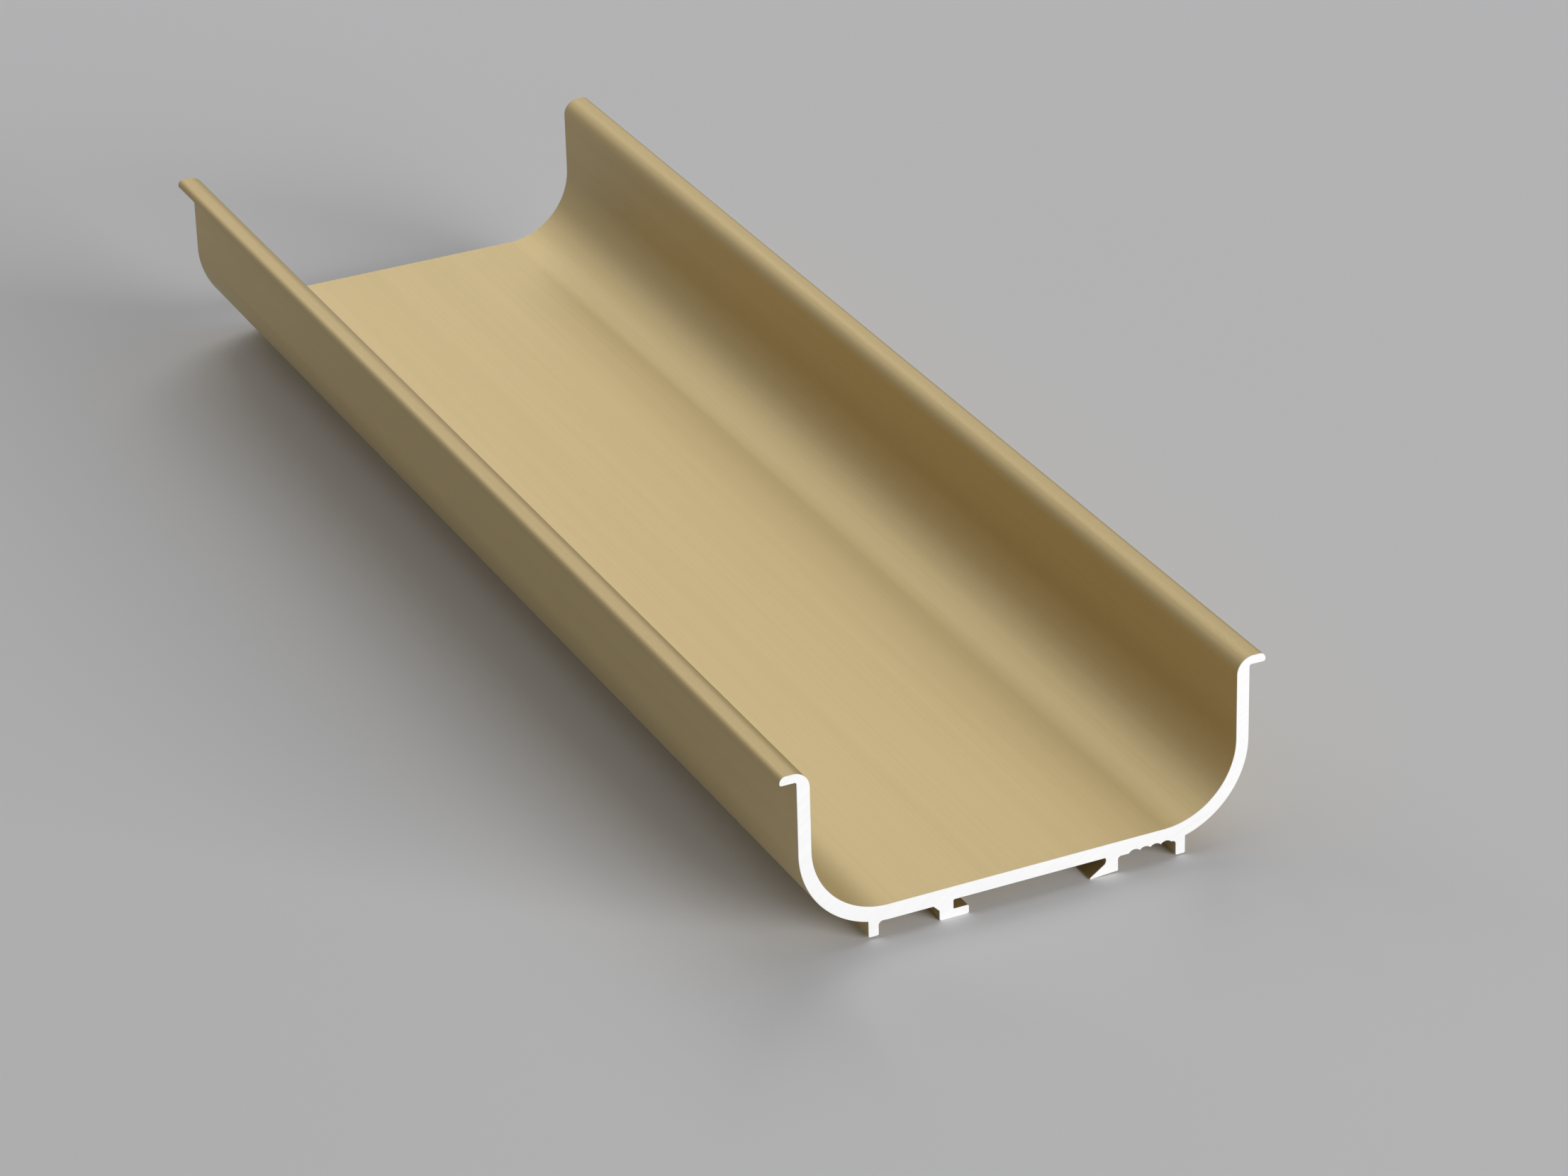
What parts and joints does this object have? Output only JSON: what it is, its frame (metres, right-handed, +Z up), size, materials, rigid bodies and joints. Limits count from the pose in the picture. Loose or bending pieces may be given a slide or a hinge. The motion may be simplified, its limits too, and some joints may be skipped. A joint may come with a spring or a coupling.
{
  "type": "handleless finger pull profile",
  "caption": "C-shaped extruded channel with out-turned lips: a finger recess for handleless cabinet fronts, with hooked ribs along its back.",
  "frame": {"origin": "middle of the footprint, on the plane of the two hook soles that it rests on", "axes": "+X across the section from the foot hook to the barb hook, +Y along the length, +Z up out of the open side of the channel"},
  "size_m": [0.074, 0.228, 0.0285],
  "materials": {
    "anodised_gold": "satin champagne gold anodised, bare metal on the two sawn ends"
  },
  "bodies": {
    "root": {"finger_pull_profile": "anodised_gold"}
  },
  "joints": []
}
